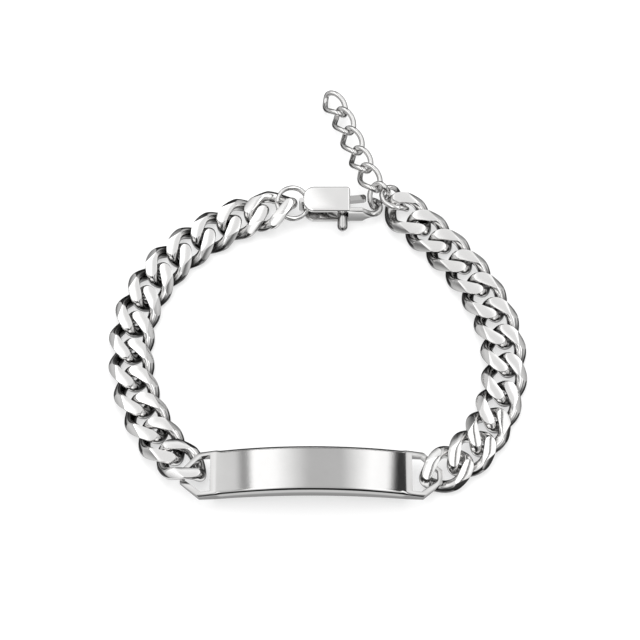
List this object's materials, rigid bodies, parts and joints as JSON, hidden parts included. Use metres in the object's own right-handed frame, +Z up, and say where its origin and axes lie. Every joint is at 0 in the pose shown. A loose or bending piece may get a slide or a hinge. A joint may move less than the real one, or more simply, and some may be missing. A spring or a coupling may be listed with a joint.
{
  "type": "id bracelet",
  "caption": "Closed curb-link bracelet with a blank arched identity plate, a lobster clasp with a sprung lever, a split ring and a short extender chain.",
  "frame": {"origin": "on the surface that the bracelet lies on, below the middle of its box", "axes": "+X to the right as seen from the plate's side, +Y from the plate to the clasp and the extender, +Z up"},
  "size_m": [0.0726, 0.0796, 0.0072],
  "materials": {
    "plate_steel": "mirror-polished stainless steel",
    "link_steel": "polished stainless steel with cut, flat faces",
    "wire_steel": "polished stainless steel wire",
    "clasp_steel": "polished stainless steel",
    "pin_steel": "plain steel pin"
  },
  "bodies": {
    "bracelet": {"id_plate": "plate_steel", "link_left_01": "link_steel", "link_left_02": "link_steel", "link_left_03": "link_steel", "link_left_04": "link_steel", "link_left_05": "link_steel", "link_left_06": "link_steel", "link_left_07": "link_steel", "link_left_08": "link_steel", "link_left_09": "link_steel", "link_left_10": "link_steel", "link_left_11": "link_steel", "link_left_12": "link_steel", "link_left_13": "link_steel", "link_right_01": "link_steel", "link_right_02": "link_steel", "link_right_03": "link_steel", "link_right_04": "link_steel", "link_right_05": "link_steel", "link_right_06": "link_steel", "link_right_07": "link_steel", "link_right_08": "link_steel", "link_right_09": "link_steel", "link_right_10": "link_steel", "link_right_11": "link_steel", "link_right_12": "link_steel", "split_ring": "wire_steel", "clasp_body": "clasp_steel", "lever_pin": "pin_steel", "extender_1": "wire_steel", "extender_2": "wire_steel", "extender_3": "wire_steel", "extender_4": "wire_steel", "extender_5": "wire_steel", "extender_6": "wire_steel", "extender_7": "wire_steel"},
    "lever": {"clasp_lever": "clasp_steel"}
  },
  "joints": [
    {"name": "lever_hinge", "type": "hinge", "parent": "bracelet", "child": "lever", "pos_m": [0.00285, 0.01608, 0.0025], "axis": [0, 0, -1], "range_deg": [0, 18], "stiffness_Nm_per_rad": 0.02, "springref_deg": -8.59}
  ]
}
